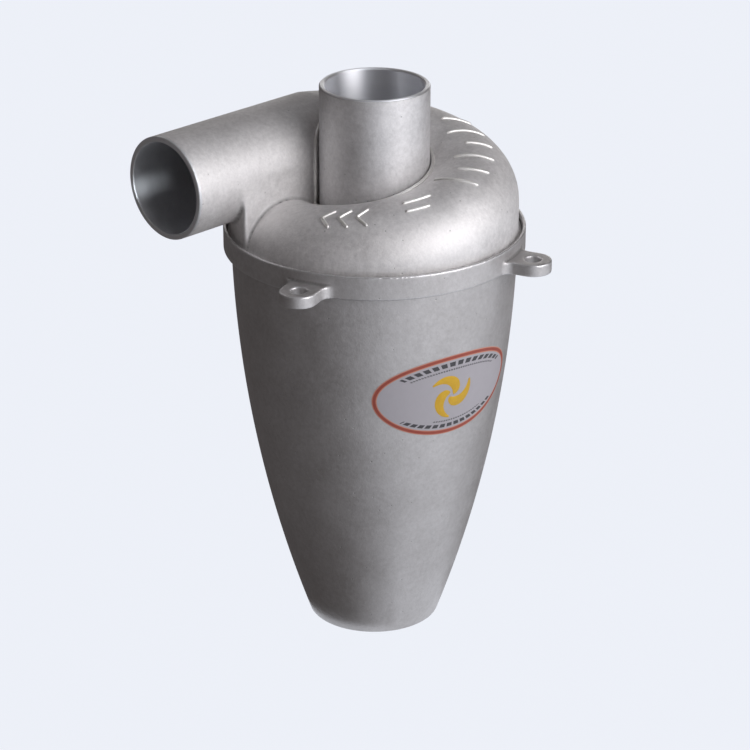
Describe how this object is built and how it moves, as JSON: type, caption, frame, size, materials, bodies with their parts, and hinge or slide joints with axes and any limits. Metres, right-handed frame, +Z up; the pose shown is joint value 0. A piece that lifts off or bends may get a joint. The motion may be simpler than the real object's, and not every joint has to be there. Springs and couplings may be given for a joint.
{
  "type": "cast cyclone dust separator",
  "caption": "Cast aluminium cyclone dust separator: tapered barrel with a ring of mounting ears, and a spiral head with a tangential inlet and a central outlet tube.",
  "frame": {"origin": "centre of the barrel's bottom rim, on the plane of the dust outlet", "axes": "+Z up the barrel's axis towards the air outlet; the inlet's mouth faces -X and its axis lies on the +Y side"},
  "size_m": [0.1708, 0.1636, 0.2621],
  "materials": {
    "cast_barrel": "blasted casting",
    "cast_head": "blasted casting",
    "outlet_tube": "blasted outside, machined inside",
    "gasket": "matt"
  },
  "bodies": {
    "root": {"barrel": "cast_barrel", "head": "cast_head", "outlet_tube": "outlet_tube", "rim_gasket": "gasket"}
  },
  "joints": []
}
